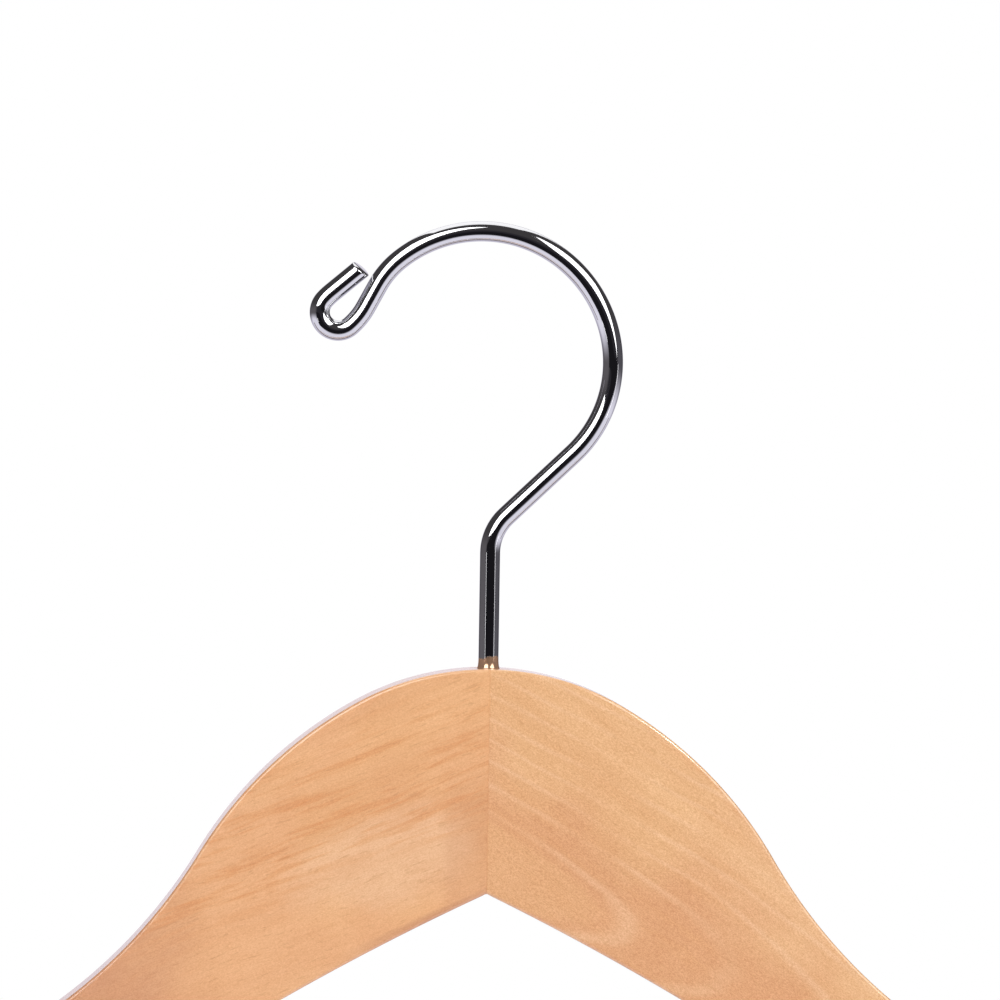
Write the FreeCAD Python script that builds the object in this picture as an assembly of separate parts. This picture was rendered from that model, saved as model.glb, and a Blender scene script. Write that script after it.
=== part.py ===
import FreeCAD, Part
import math
import os

# Flat wooden top hanger with a chrome swivel hook.  Millimetres, +Z up, +X along the shoulders.
# The swivel axis is the Z axis.  z = 0 is the inside of the hook's crown, where a rail bears.

# Overall size
SPAN = 432.0                # tip to tip
THICKNESS = 12.0            # front face to back face
EDGE_ROUND = 0.7            # round-over along every long edge of the wood

# Top edge of one arm, outwards from the swivel axis: (radius, turn in degrees, + is upwards)
CROWN_BEND = (52.8, -29.3)
SHOULDER_BEND = (83.2, -30.0)
NECK_BEND = (104.0, 28.3)
TIP_SLOPE = -20.0           # slope of both edges where the round tip starts
TIP_DEPTH = 17.0            # depth of the arm there

# Bottom edge of one arm
CENTRE_DEPTH = 44.3         # top of the wood to the apex of the underside
APEX_SLOPE = -25.5
STEEPEST_SLOPE = -31.2
APEX_ROUND = 0.4            # small radius where the two undersides meet

# Strap notch in the top edge
NOTCH_X = 160.0             # centre of the notch from the swivel axis
NOTCH_WIDTH = 6.0
NOTCH_DEPTH = 6.5           # below the top edge at the notch's centre
NOTCH_MOUTH_ROUND = 1.5

# Glued finger joint between the arms
SHOULDER_WIDTH = 1.5        # plain butt strip along each face, so the seam shows straight
FINGER_LENGTH = 4.0         # how far a finger reaches past the middle

# Hook wire, from the top of the wood upwards: straight runs and (radius, turn) bends
WIRE_D = 4.0
SHANK_RUN = 22.8
HOOK_BENDS = [
    ("bend", 10.0, -46.3),
    ("run", 17.9),
    ("bend", 24.8, 57.8),
    ("bend", 26.0, 117.7),
    ("bend", 17.25, 22.6),
    ("run", 4.8),
    ("bend", 13.8, -20.0),
    ("bend", 3.65, -172.7),
    ("bend", 12.0, -9.0),
    ("run", 7.7),
]
CUT_END_CHAMFER = 0.2
THREAD_END_CHAMFER = 0.5

# Bore for the shank, and the recess under it for the washer and nut
BORE_D = 4.16
BORE_MOUTH_CHAMFER = 0.35
RECESS_D = 8.8
RECESS_DEPTH = 8.3          # above the apex of the underside
END_FLOAT = 0.1             # washer to recess floor

# Washer and nut for an M4 shank
WASHER_D = 8.0
WASHER_HOLE_D = 4.3
WASHER_THICKNESS = 0.5
NUT_FLATS = 7.0
NUT_HEIGHT = 3.2
NUT_BORE_D = 4.08
NUT_CHAMFER_ANGLE = 30.0
THREAD_PAST_NUT = 1.6


def point(x, z, y=0.0):
    return FreeCAD.Vector(x, y, z)


def direction(heading):
    """Unit vector in the XZ plane; a heading of 0 is +X and 90 is +Z."""
    angle = math.radians(heading)
    return point(math.cos(angle), math.sin(angle))


def run_edge(start, heading, length):
    """Straight edge, and where it ends."""
    end = start + direction(heading) * length
    return Part.makeLine(start, end), end


def bend_edge(start, heading, radius, turn):
    """Arc tangent to the heading, where it ends, and its new heading.  A turn is + anticlockwise."""
    side = math.copysign(90.0, turn)
    centre = start + direction(heading + side) * radius
    middle = centre + direction(heading - side + turn / 2) * radius
    end = centre + direction(heading - side + turn) * radius
    return Part.Arc(start, middle, end).toShape(), end, heading + turn


def tangent_chain(start, heading, steps):
    """Edges of a smooth path made of straight runs and bends, and the point where it ends."""
    edges = []
    here = start
    for step in steps:
        if step[0] == "run":
            edge, here = run_edge(here, heading, step[1])
        else:
            edge, here, heading = bend_edge(here, heading, step[1], step[2])
        edges.append(edge)
    return edges, here


def sin_deg(angle):
    return math.sin(math.radians(angle))


def cos_deg(angle):
    return math.cos(math.radians(angle))


# ---------------------------------------------------------------- hook

def hook_centreline():
    """Hook path above the wood, placed so that the inside of its crown is at z = 0."""
    steps = [("run", SHANK_RUN)] + HOOK_BENDS
    edges, _ = tangent_chain(point(0, 0), 90.0, steps)
    crown_z = Part.Wire(edges).BoundBox.ZMax
    lift = WIRE_D / 2 - crown_z
    for edge in edges:
        edge.translate(point(0, lift))
    return edges, lift


def end_rim(solid, end):
    """The circular edge round a cut end of the wire."""
    rims = [e for e in solid.Edges if len(e.Vertexes) == 1 and e.CenterOfMass.distanceToPoint(end) < 0.01]
    return rims[0]


def make_hook(edges, wood_top, thread_end):
    """One length of round wire: threaded shank, crook and turned-back tip."""
    shank = Part.makeLine(point(0, thread_end), point(0, wood_top))
    path = Part.Wire([shank] + edges)
    section = Part.Wire(Part.makeCircle(WIRE_D / 2, point(0, thread_end), point(0, 1)))
    hook = path.makePipeShell([section], True, False)
    tip = edges[-1].valueAt(edges[-1].LastParameter)
    hook = hook.makeChamfer(CUT_END_CHAMFER, [end_rim(hook, tip)])
    return hook.makeChamfer(THREAD_END_CHAMFER, [end_rim(hook, point(0, thread_end))])


# ---------------------------------------------------------------- wood

def top_edge(wood_top):
    """Top edge of the right arm, ending where the round tip starts."""
    tip_start_x = SPAN / 2 - TIP_DEPTH / 2 * (1 + sin_deg(TIP_SLOPE))
    steps = [("bend",) + CROWN_BEND, ("bend",) + SHOULDER_BEND, ("bend",) + NECK_BEND]
    edges, here = tangent_chain(point(0, wood_top), 0.0, steps)
    slope = CROWN_BEND[1] + SHOULDER_BEND[1] + NECK_BEND[1]
    radius = (tip_start_x - here.x) / (sin_deg(TIP_SLOPE) - sin_deg(slope))
    arm_edge, end, _ = bend_edge(here, slope, radius, TIP_SLOPE - slope)
    return edges + [arm_edge], end


def bottom_radii(apex, tip_end):
    """Radii of the two tangent arcs that join the apex to the tip at the slopes stated above.

    The first arc steepens from the apex and the second flattens towards the tip.
    """
    run_1 = sin_deg(APEX_SLOPE) - sin_deg(STEEPEST_SLOPE)
    run_2 = sin_deg(TIP_SLOPE) - sin_deg(STEEPEST_SLOPE)
    drop_1 = cos_deg(APEX_SLOPE) - cos_deg(STEEPEST_SLOPE)
    drop_2 = cos_deg(TIP_SLOPE) - cos_deg(STEEPEST_SLOPE)
    run = tip_end.x - apex.x
    drop = apex.z - tip_end.z
    determinant = run_1 * drop_2 - run_2 * drop_1
    return (run * drop_2 - run_2 * drop) / determinant, (run_1 * drop - run * drop_1) / determinant


def half_outline(wood_top):
    """Outline of the right half, from the top of the wood round the tip to the apex."""
    top, tip_start = top_edge(wood_top)
    tip, tip_end, heading = bend_edge(tip_start, TIP_SLOPE, TIP_DEPTH / 2, -180.0)
    apex_bend_x = APEX_ROUND * -sin_deg(APEX_SLOPE)
    apex_bend_z = APEX_ROUND * (1 - cos_deg(APEX_SLOPE))
    apex_side = point(apex_bend_x, wood_top - CENTRE_DEPTH - apex_bend_z)
    steepening, flattening = bottom_radii(apex_side, tip_end)
    steps = [
        ("bend", flattening, STEEPEST_SLOPE - TIP_SLOPE),
        ("bend", steepening, APEX_SLOPE - STEEPEST_SLOPE),
        ("bend", APEX_ROUND, -APEX_SLOPE),
    ]
    bottom, _ = tangent_chain(tip_end, heading, steps)
    return top + [tip] + bottom


def body_blank(wood_top):
    """Both arms as one sharp-edged slab."""
    half = half_outline(wood_top)
    mirrored = [edge.mirror(point(0, 0), point(1, 0)) for edge in half]
    outline = Part.Wire(Part.sortEdges(half + mirrored)[0])
    face = Part.Face(outline)
    face.translate(point(0, 0, -THICKNESS / 2))
    return face.extrude(point(0, 0, THICKNESS))


def top_height(body, x):
    """Height of the top edge at x."""
    probe = Part.makeLine(point(x, -SPAN), point(x, SPAN))
    return body.common(probe).BoundBox.ZMax


def notch_tool(x, top_z):
    """Upright slot with a round bottom, open at the top."""
    radius = NOTCH_WIDTH / 2
    floor_centre = top_z - NOTCH_DEPTH + radius
    corner = point(x - radius, floor_centre, -THICKNESS)
    slot = Part.makeBox(NOTCH_WIDTH, 2 * THICKNESS, 4 * NOTCH_DEPTH, corner)
    round_bottom = Part.makeCylinder(radius, 2 * THICKNESS, point(x, floor_centre, -THICKNESS), point(0, 0, 1))
    return slot.fuse(round_bottom)


def is_notch_mouth(edge, x, top_z):
    """True for the two corner edges across the thickness at a notch's mouth."""
    centre = edge.CenterOfMass
    across = edge.BoundBox.YLength > THICKNESS - 0.1
    beside = abs(abs(centre.x - x) - NOTCH_WIDTH / 2) < 0.1
    return across and beside and centre.z > top_z - NOTCH_WIDTH / 2


def cut_notches(body):
    """Cut a strap notch in each arm and round its mouth."""
    for x in (-NOTCH_X, NOTCH_X):
        top_z = top_height(body, x)
        body = body.cut(notch_tool(x, top_z)).removeSplitter()
        mouth = [edge for edge in body.Edges if is_notch_mouth(edge, x, top_z)]
        body = body.makeFillet(NOTCH_MOUTH_ROUND, mouth)
    return body


def round_over(body):
    """Round every edge that lies in the front or back face."""
    long_edges = [edge for edge in body.Edges if edge.BoundBox.YLength < 0.01]
    return body.makeFillet(EDGE_ROUND, long_edges)


def recess_floor(wood_top):
    return wood_top - CENTRE_DEPTH + RECESS_DEPTH


def bore_tools(wood_top):
    """Shank bore with an eased mouth, and the recess for the washer and nut."""
    length = 2 * CENTRE_DEPTH
    bore = Part.makeCylinder(BORE_D / 2, length, point(0, wood_top - length / 2 - CENTRE_DEPTH / 2))
    ease = BORE_MOUTH_CHAMFER
    mouth = Part.makeCone(BORE_D / 2, BORE_D / 2 + 2 * ease, 2 * ease, point(0, wood_top - ease))
    recess = Part.makeCylinder(RECESS_D / 2, RECESS_DEPTH * 2, point(0, recess_floor(wood_top) - RECESS_DEPTH * 2))
    return bore.fuse([mouth, recess])


def finger_tool(wood_top):
    """Everything on the right arm's side of the zigzag glue line.

    The line is unchanged by half a turn about the swivel axis, so both arms are the same piece.
    """
    face_y = THICKNESS / 2
    root_y = face_y - SHOULDER_WIDTH
    finger_y = root_y / 2
    line = [
        (SPAN, -face_y - 1), (0, -face_y - 1), (0, -root_y), (FINGER_LENGTH, -finger_y),
        (-FINGER_LENGTH, finger_y), (0, root_y), (0, face_y + 1), (SPAN, face_y + 1),
    ]
    low = wood_top - SPAN
    corners = [point(x, low, y) for x, y in line]
    face = Part.Face(Part.makePolygon(corners + corners[:1]))
    return face.extrude(point(0, 2 * SPAN))


def make_arms(wood_top):
    """Left and right arm, which meet at the glue line."""
    body = round_over(cut_notches(body_blank(wood_top)))
    body = body.cut(bore_tools(wood_top))
    tool = finger_tool(wood_top)
    return body.cut(tool), body.common(tool)


# ---------------------------------------------------------------- washer and nut

def make_washer(bottom):
    disc = Part.makeCylinder(WASHER_D / 2, WASHER_THICKNESS, point(0, bottom))
    hole = Part.makeCylinder(WASHER_HOLE_D / 2, WASHER_THICKNESS, point(0, bottom))
    return disc.cut(hole)


def make_nut(bottom):
    """Hexagon nut with both ends chamfered at its corners."""
    corner_r = NUT_FLATS / 2 / cos_deg(30)
    corners = [point(corner_r * cos_deg(a), bottom, corner_r * sin_deg(a)) for a in range(0, 361, 60)]
    prism = Part.Face(Part.makePolygon(corners)).extrude(point(0, NUT_HEIGHT))
    rise = math.tan(math.radians(NUT_CHAMFER_ANGLE))
    flare = NUT_HEIGHT / 2 / rise
    lower = Part.makeCone(NUT_FLATS / 2, NUT_FLATS / 2 + flare, NUT_HEIGHT / 2, point(0, bottom))
    upper = lower.mirror(point(0, bottom + NUT_HEIGHT / 2), point(0, 1))
    hole = Part.makeCylinder(NUT_BORE_D / 2, NUT_HEIGHT, point(0, bottom))
    return prism.common(lower.fuse(upper)).cut(hole)


# ---------------------------------------------------------------- assembly

def single_solid(shape):
    """The one solid in a shape, so that each file holds exactly one."""
    if len(shape.Solids) != 1 or not shape.isValid():
        raise ValueError("expected one valid solid")
    return shape.Solids[0]


def build():
    edges, wood_top = hook_centreline()
    washer_bottom = recess_floor(wood_top) - END_FLOAT - WASHER_THICKNESS
    nut_bottom = washer_bottom - NUT_HEIGHT
    left_arm, right_arm = make_arms(wood_top)
    return {
        "left_arm": left_arm,
        "right_arm": right_arm,
        "swivel_hook": make_hook(edges, wood_top, nut_bottom - THREAD_PAST_NUT),
        "hook_washer": make_washer(washer_bottom),
        "hook_nut": make_nut(nut_bottom),
    }


os.makedirs("parts", exist_ok=True)
for name, shape in build().items():
    solid = single_solid(shape)
    solid.exportStep("parts/" + name + ".step")
    box = solid.BoundBox
    print(name, round(solid.Volume, 1), "mm3", "x", round(box.XMin, 2), round(box.XMax, 2),
          "y", round(box.YMin, 2), round(box.YMax, 2), "z", round(box.ZMin, 2), round(box.ZMax, 2))
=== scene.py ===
import math

import bmesh
import bpy
from mathutils import Matrix, Vector


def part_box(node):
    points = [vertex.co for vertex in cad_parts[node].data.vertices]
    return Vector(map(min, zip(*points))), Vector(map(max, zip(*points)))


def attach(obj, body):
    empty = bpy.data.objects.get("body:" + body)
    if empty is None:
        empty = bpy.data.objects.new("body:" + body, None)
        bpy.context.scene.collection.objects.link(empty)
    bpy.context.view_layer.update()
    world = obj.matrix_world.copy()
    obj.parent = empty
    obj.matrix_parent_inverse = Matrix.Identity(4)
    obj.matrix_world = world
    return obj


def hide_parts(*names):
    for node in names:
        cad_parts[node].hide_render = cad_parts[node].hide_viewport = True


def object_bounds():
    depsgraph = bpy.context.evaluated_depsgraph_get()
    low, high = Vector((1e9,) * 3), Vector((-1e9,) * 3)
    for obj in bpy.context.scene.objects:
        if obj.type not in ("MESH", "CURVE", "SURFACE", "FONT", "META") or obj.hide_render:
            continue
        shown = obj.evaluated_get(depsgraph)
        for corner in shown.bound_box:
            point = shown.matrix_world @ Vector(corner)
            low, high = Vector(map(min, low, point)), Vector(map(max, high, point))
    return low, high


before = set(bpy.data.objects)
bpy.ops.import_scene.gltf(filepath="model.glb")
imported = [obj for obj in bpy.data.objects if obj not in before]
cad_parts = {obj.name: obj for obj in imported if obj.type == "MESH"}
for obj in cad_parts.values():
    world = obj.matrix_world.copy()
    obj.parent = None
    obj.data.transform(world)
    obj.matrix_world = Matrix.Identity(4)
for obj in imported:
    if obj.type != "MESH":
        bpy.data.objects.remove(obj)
CAD_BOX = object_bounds()

# Sizes are millimetres in the row frame, except those of the lights and the camera: metres.
MM = 0.001

# ---------------------------------------------------------------- driving sizes

WOOD_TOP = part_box("right_arm")[1].z / MM
THREAD_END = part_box("swivel_hook")[0].z / MM
HALF_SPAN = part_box("right_arm")[1].x / MM
THICKNESS = (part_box("right_arm")[1].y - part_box("right_arm")[0].y) / MM
WASHER_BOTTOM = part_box("hook_washer")[0].z / MM
WASHER_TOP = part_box("hook_washer")[1].z / MM
NUT_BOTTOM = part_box("hook_nut")[0].z / MM

EDGE_ROUND = 0.7
CROWN_BEND = (52.8, -29.3)          # (radius, turn in degrees, + is anticlockwise)
SHOULDER_BEND = (83.2, -30.0)
NECK_BEND = (104.0, 28.3)
TIP_SLOPE = -20.0
TIP_DEPTH = 17.0
CENTRE_DEPTH = 44.3
APEX_SLOPE = -25.5
STEEPEST_SLOPE = -31.2
APEX_ROUND = 0.4
NOTCH_X = 160.0
NOTCH_WIDTH = 6.0
NOTCH_DEPTH = 6.5
NOTCH_MOUTH_ROUND = 1.5
SHOULDER_WIDTH = 1.5
FINGER_LENGTH = 4.0

WIRE_R = 2.0
HOOK_STEPS = [
    ("run", 22.8),
    ("bend", 10.0, -46.3),
    ("run", 17.9),
    ("bend", 24.8, 57.8),
    ("bend", 26.0, 117.7),
    ("bend", 17.25, 22.6),
    ("run", 4.8),
    ("bend", 13.8, -20.0),
    ("bend", 3.65, -172.7),
    ("bend", 12.0, -9.0),
    ("run", 7.7),
]
FILM_HEIGHT = 2.2                   # lacquer climbs the shank above the wood
FILM_FLARE = 0.22                   # and is this thick at its foot
CUT_LEAN = (0.16, 0.27)             # the cut end is off square, across the wire and to the front
CUT_SETBACK = 0.1
CUT_CHAMFER = 0.16
THREAD_PITCH = 0.7
THREAD_DEPTH = 0.38
THREAD_LENGTH = 9.0
THREAD_FADE = 1.4
THREAD_CHAMFER = 0.5
CREST_CUT = 0.02                    # the thread's crests lie this far under the plain wire
GROOVE_EDGE = 0.4375                # half a groove's width at the crests, in pitches
GROOVE_FLANK = 0.3125               # width of its sloping flank, in pitches

BORE_R = 2.08
BORE_EASE = 0.35
RECESS_R = 4.4
RECESS_DEPTH = 8.3

NUT_FLATS = 7.0
NUT_HEIGHT = 3.2
NUT_BORE_R = 2.04
NUT_EASE = 0.28                     # countersink at both ends of the hole
NUT_CORNER_ANGLE = 30.0
NUT_FACE_INSET = 0.02               # the flat end stops this far inside the flats
WASHER_R = 4.0
WASHER_BORE_R = 2.15
WASHER_EASE = 0.12

# ---------------------------------------------------------------- fineness of the meshes

SMOOTH_ANGLE = 30.0                 # faces that meet at less than this are shaded smooth
BEND_STEP = 4.0                     # largest turn between two stations, in degrees
NOTCH_STEP = 8.0
EDGE_SPACING = 1.0                  # between stations along the arms' edges
TIP_SPACING = 0.8
SEAM_SPACING = 0.05                 # between stations of the top edge close to the seam
APEX_SPACING = 0.02
WIRE_SPACING = 0.6
SHANK_SPACING = 1.5                 # on the plain shank inside the wood
FILM_STATIONS = 14
THREAD_STATIONS = 12                # in one pitch of the thread
WIRE_SEGMENTS = 64
BORE_SEGMENTS = 72
WASHER_SEGMENTS = 96
NUT_SEGMENTS = 120
FLOOR_SEGMENTS = 128

# ---------------------------------------------------------------- plane paths


def sin_deg(angle):
    return math.sin(math.radians(angle))


def cos_deg(angle):
    return math.cos(math.radians(angle))


def unit(heading):
    """Unit vector (x, z) of a heading in degrees; 0 is +X and 90 is +Z."""
    return cos_deg(heading), sin_deg(heading)


def arc_stations(centre, radius, start, turn, count):
    """Stations (x, z, heading) on an arc from a start heading, both ends included."""
    side = math.copysign(90.0, turn)
    stations = []
    for i in range(count + 1):
        heading = start + turn * i / count
        ox, oz = unit(heading - side)
        stations.append((centre[0] + ox * radius, centre[1] + oz * radius, heading))
    return stations


def walk(start, heading, steps, spacing):
    """Stations (x, z, heading) along straight runs and bends, both ends included."""
    x, z = start
    stations = [(x, z, heading)]
    for step in steps:
        if step[0] == "run":
            length = step[1]
            count = max(1, round(length / (spacing * 2)))
            dx, dz = unit(heading)
            for i in range(1, count + 1):
                gone = length * i / count
                stations.append((x + dx * gone, z + dz * gone, heading))
        else:
            radius, turn = step[1], step[2]
            sx, sz = unit(heading + math.copysign(90.0, turn))
            centre = (x + sx * radius, z + sz * radius)
            length = radius * abs(math.radians(turn))
            count = max(math.ceil(abs(turn) / BEND_STEP), round(length / spacing))
            stations += arc_stations(centre, radius, heading, turn, count)[1:]
            heading += turn
        x, z = stations[-1][:2]
    return stations


def edge_at(stations, x):
    """Height of an edge at x, mirrored about the seam, and its heading on the +X side."""
    x = abs(x)
    for (xa, za, heading), (xb, zb, _) in zip(stations, stations[1:]):
        if xa <= x <= xb and xb > xa:
            return za + (zb - za) * (x - xa) / (xb - xa), heading
    raise ValueError("x is off the edge")


# ---------------------------------------------------------------- mesh helpers


def new_object(name, verts, faces, materials, smooth_angle=SMOOTH_ANGLE):
    """Mesh object from millimetre vertices, shaded smooth up to an angle between faces."""
    mesh = bpy.data.meshes.new(name)
    mesh.from_pydata([(x * MM, y * MM, z * MM) for x, y, z in verts], [], faces)
    obj = bpy.data.objects.new(name, mesh)
    bpy.context.scene.collection.objects.link(obj)
    for material in materials:
        mesh.materials.append(material)
    finish_mesh(obj, smooth_angle)
    return obj


def finish_mesh(obj, smooth_angle):
    """Outward normals, then smooth shading with sharp edges above the angle."""
    mesh = obj.data
    work = bmesh.new()
    work.from_mesh(mesh)
    bmesh.ops.recalc_face_normals(work, faces=work.faces)
    work.to_mesh(mesh)
    work.free()
    mesh.shade_smooth()
    mesh.set_sharp_from_angle(angle=math.radians(smooth_angle))
    mesh.update()


def bridge(first, second, closed=False):
    """Quads between two rows of vertex numbers."""
    count = len(first)
    last = count if closed else count - 1
    faces = []
    for i in range(last):
        after = (i + 1) % count
        faces.append((first[i], first[after], second[after], second[i]))
    return faces


def skin(rows, closed=False):
    """Quads between each row of vertex numbers and the next."""
    faces = []
    for first, second in zip(rows, rows[1:]):
        faces += bridge(first, second, closed)
    return faces


def lathe(name, profile, segments, materials, closed=False, smooth_angle=SMOOTH_ANGLE):
    """Revolve (radius, z) points round the Z axis.  An open profile starts and ends on the axis."""
    verts, rings = [], []
    for radius, z in profile:
        if radius == 0.0:
            rings.append([len(verts)] * segments)
            verts.append((0.0, 0.0, z))
            continue
        rings.append(list(range(len(verts), len(verts) + segments)))
        for i in range(segments):
            angle = 2 * math.pi * i / segments
            verts.append((radius * math.cos(angle), radius * math.sin(angle), z))
    if closed:
        rings.append(rings[0])
    corners = [list(dict.fromkeys(quad)) for quad in skin(rings, closed=True)]
    faces = [face for face in corners if len(face) > 2]
    return new_object(name, verts, faces, materials, smooth_angle)


# ---------------------------------------------------------------- node helpers


class Nodes:
    """Short calls for building a node tree."""

    def __init__(self, tree):
        self.tree = tree

    def add(self, kind, inputs=(), **settings):
        node = self.tree.nodes.new(kind)
        for key, value in settings.items():
            setattr(node, key, value)
        for key, value in dict(inputs).items():
            self.feed(node, key, value)
        return node

    def feed(self, node, key, value):
        socket = node.inputs[key]
        if isinstance(value, bpy.types.NodeSocket):
            self.tree.links.new(value, socket)
        else:
            socket.default_value = value

    def position(self):
        return self.add("ShaderNodeTexCoord").outputs["Object"]

    def split(self, vector):
        return self.add("ShaderNodeSeparateXYZ", {0: vector}).outputs

    def math(self, operation, a, b=0.0, c=0.0):
        return self.add("ShaderNodeMath", {0: a, 1: b, 2: c}, operation=operation).outputs[0]

    def swing(self, value, amount, base=1.0):
        """The base, moved by an amount times how far a 0 to 1 value is from its middle."""
        return self.math("MULTIPLY_ADD", self.math("SUBTRACT", value, 0.5), amount, base)

    def vector_math(self, operation, a, b=(0.0, 0.0, 0.0)):
        node = self.add("ShaderNodeVectorMath", {0: a, 1: b}, operation=operation)
        return node.outputs["Value" if operation in ("DOT_PRODUCT", "LENGTH") else "Vector"]

    def mapping(self, vector, location=(0, 0, 0), rotation=(0, 0, 0), scale=(1, 1, 1)):
        inputs = {"Vector": vector, "Location": location, "Rotation": rotation, "Scale": scale}
        return self.add("ShaderNodeMapping", inputs).outputs[0]

    def noise(self, vector, scale=1.0, detail=2.0, roughness=0.5):
        inputs = {"Vector": vector, "Scale": scale, "Detail": detail, "Roughness": roughness}
        return self.add("ShaderNodeTexNoise", inputs).outputs["Fac"]

    def remap(self, value, low, high, to_low=0.0, to_high=1.0):
        """Smooth step from one tone at low to another at high, and even beyond them."""
        inputs = {0: value, 1: low, 2: high, 3: to_low, 4: to_high}
        return self.add("ShaderNodeMapRange", inputs, interpolation_type="SMOOTHSTEP").outputs[0]

    def mix(self, factor, a, b, blend="MIX"):
        settings = {"data_type": "RGBA", "blend_type": blend}
        return self.add("ShaderNodeMix", {0: factor, 6: a, 7: b}, **settings).outputs[2]

    def bump(self, height, strength, distance):
        inputs = {"Height": height, "Strength": strength, "Distance": distance}
        return self.add("ShaderNodeBump", inputs).outputs[0]


def new_material(name):
    """A node material, the short calls for its tree, and its shader."""
    material = bpy.data.materials.new(name)
    material.use_nodes = True
    tree = material.node_tree
    return material, Nodes(tree), tree.nodes["Principled BSDF"]


def rgb(red, green, blue):
    """Linear colour from 0-255 display values."""
    def linear(value):
        value /= 255.0
        return value / 12.92 if value <= 0.04045 else ((value + 0.055) / 1.055) ** 2.4
    return linear(red), linear(green), linear(blue), 1.0


# ---------------------------------------------------------------- wood material

# The darker lower corner of the left arm by the seam, and painted shade in a strip along its
# underside from there, where the rounded edge turns down
CORNER_X = (-10.0, -6.5)
CORNER_HEIGHT = (28.0, 15.0)        # over the apex of the underside
CORNER_STRENGTH = 0.42
PAINTED_SHADE_X = (-34.0, -12.0)
PAINTED_SHADE_DEPTH = (0.7, 1.9)            # inside the underside
FAR_FADE = (-105.0, -175.0)         # the far tone weakens between these x
SHADE_SHARES = (0.55, 1.0, 1.35)    # how much red, green and blue take of the fine contrast


def tone_noise(n, place, scale, low, high, detail=2.0, roughness=0.5):
    """Soft-edged patches from 0 to 1 out of stretched noise."""
    noise = n.noise(n.mapping(place, scale=scale), detail=detail, roughness=roughness)
    return n.remap(noise, low, high)


def across_grain(n, place, look, centre, scale):
    """Scaled distance from a centre (x, height over the wood's top), along and across the grain."""
    x, height = centre
    offset = n.vector_math("SUBTRACT", place, (x, 0.0, WOOD_TOP + height))
    turned = n.mapping(offset, rotation=(0.0, math.radians(look["grain_tilt"]), 0.0))
    return n.vector_math("LENGTH", n.vector_math("MULTIPLY", turned, (scale[0], 0.0, scale[1])))


def grain_space(n, place, look):
    """Coordinates along the grain, the slow wander that bends the fibres, and both together."""
    tilt = math.radians(look["grain_tilt"])
    grain = n.vector_math("ADD", n.mapping(place, rotation=(0.0, tilt, 0.0)), look["offset"])
    slow = {"Vector": n.mapping(grain, scale=(0.022, 0.03, 0.03)), "Scale": 1.0, "Detail": 2.0}
    wander = n.add("ShaderNodeTexNoise", slow).outputs["Color"]
    wander = n.vector_math("SUBTRACT", wander, (0.5, 0.5, 0.5))
    wander = n.vector_math("MULTIPLY", wander, (6.0, 8.0, look["wander"]))
    return grain, wander, n.vector_math("ADD", grain, wander)


def streak_mask(n, place, fibre, fibres, patchy, look):
    """Feathered streaks, strong near one line along the grain and faint away from it."""
    low, high = look["streak_ramp"]
    streaks = tone_noise(n, fibre, look["streak_scale"], low, high, 4.0, 0.6)
    streaks = n.math("MULTIPLY", streaks, n.swing(fibres, look["streak_feather"]))
    zone = across_grain(n, place, look, look["streak_line"], (0.05, 1.0))
    zone = n.swing(patchy, 12.0, zone)
    return n.math("MULTIPLY", streaks, n.remap(zone, *look["streak_reach"], 1.0, 0.12))


def patch_mask(n, place, patchy, look):
    """One large patch with an uneven soft edge."""
    patch = across_grain(n, place, look, look["patch"], look["patch_size"])
    return n.remap(n.swing(patchy, 1.2, patch), 0.65, 1.30, 1.0, 0.0)


def far_mask(n, place, clouds, look):
    """The tone that the arm takes on away from the seam."""
    along = n.split(place)["X"]
    far = n.remap(n.math("MULTIPLY_ADD", clouds, 20.0, along), *look["far"])
    return n.math("MULTIPLY", far, n.remap(along, *FAR_FADE, 1.0, 0.35))


def seam_corner_and_painted_shade(n, place):
    """The left arm's darker lower corner by the seam, and painted shade in a thin strip along its
    underside.
    """
    offset = n.vector_math("SUBTRACT", place, (0.0, 0.0, WOOD_TOP - CENTRE_DEPTH))
    parts = n.split(offset)
    inward = (sin_deg(APEX_SLOPE), 0.0, cos_deg(APEX_SLOPE))
    inside = n.vector_math("DOT_PRODUCT", offset, inward)
    # painted shade: the strip darkens where the rounded underside edge turns away from the light
    edge_shade = n.remap(inside, *PAINTED_SHADE_DEPTH, 1.0, 0.0)
    edge_shade = n.math("MULTIPLY", edge_shade, n.remap(parts["X"], *PAINTED_SHADE_X))
    corner = n.math("MULTIPLY", n.remap(parts["X"], *CORNER_X), n.remap(parts["Z"], *CORNER_HEIGHT))
    return n.math("MAXIMUM", edge_shade, n.math("MULTIPLY", corner, CORNER_STRENGTH))


def ring_masks(n, place, grain, wander, fibre, look):
    """Growth lines at even distances from a far axis, seen as long nested curves; their core."""
    tilt = math.radians(look["ring_tilt"])
    core = n.mapping(n.mapping(place, location=look["ring_core"]), rotation=(0.0, tilt, 0.0))
    core = n.vector_math("MULTIPLY", n.vector_math("ADD", core, wander), look["ring_stretch"])
    uneven = n.noise(n.mapping(fibre, scale=(0.01, 0.05, 0.07)), detail=3.0)
    distance = n.vector_math("LENGTH", core)
    distance = n.math("MULTIPLY_ADD", uneven, look["ring_uneven"], distance)
    shifted = n.math("ADD", distance, look["ring_shift"])
    phase = n.math("FRACT", n.math("DIVIDE", shifted, look["ring_gap"]))
    rings = n.math("MULTIPLY", n.remap(phase, 0.30, 0.50), n.remap(phase, 0.50, 0.66, 1.0, 0.0))
    rings = n.math("MULTIPLY", rings, tone_noise(n, grain, (0.03, 0.05, 0.05), 0.30, 0.62))
    core_tone = n.remap(distance, look["core_edge"] - 1.2, look["core_edge"], 1.0, 0.0)
    return n.math("MULTIPLY", rings, n.math("MULTIPLY_ADD", core_tone, -0.85, 1.0)), core_tone


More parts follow.
